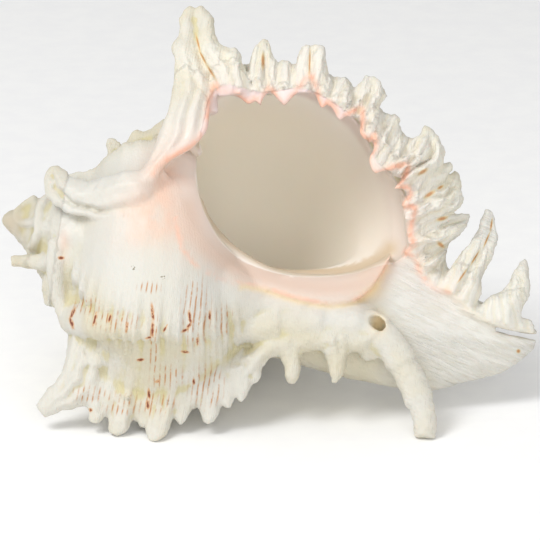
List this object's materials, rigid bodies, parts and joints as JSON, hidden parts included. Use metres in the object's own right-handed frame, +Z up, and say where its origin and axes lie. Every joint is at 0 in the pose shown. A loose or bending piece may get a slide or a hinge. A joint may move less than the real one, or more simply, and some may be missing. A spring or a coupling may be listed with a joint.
{
  "type": "murex shell",
  "caption": "Large spined sea snail shell lying with its round mouth forward, on the worn tips of its spines and old canal.",
  "frame": {"origin": "bottom centre of the box around the shell, on the surface that it rests on", "axes": "+Z up; +X from the apex towards the tip of the canal; -Y the way the mouth faces"},
  "size_m": [0.1789, 0.1159, 0.1271],
  "materials": {
    "shell": "chalky cream white outside with fine brown lines, tan and glossy in the mouth, pink at its edge"
  },
  "bodies": {
    "root": {"shell": "shell"}
  },
  "joints": []
}
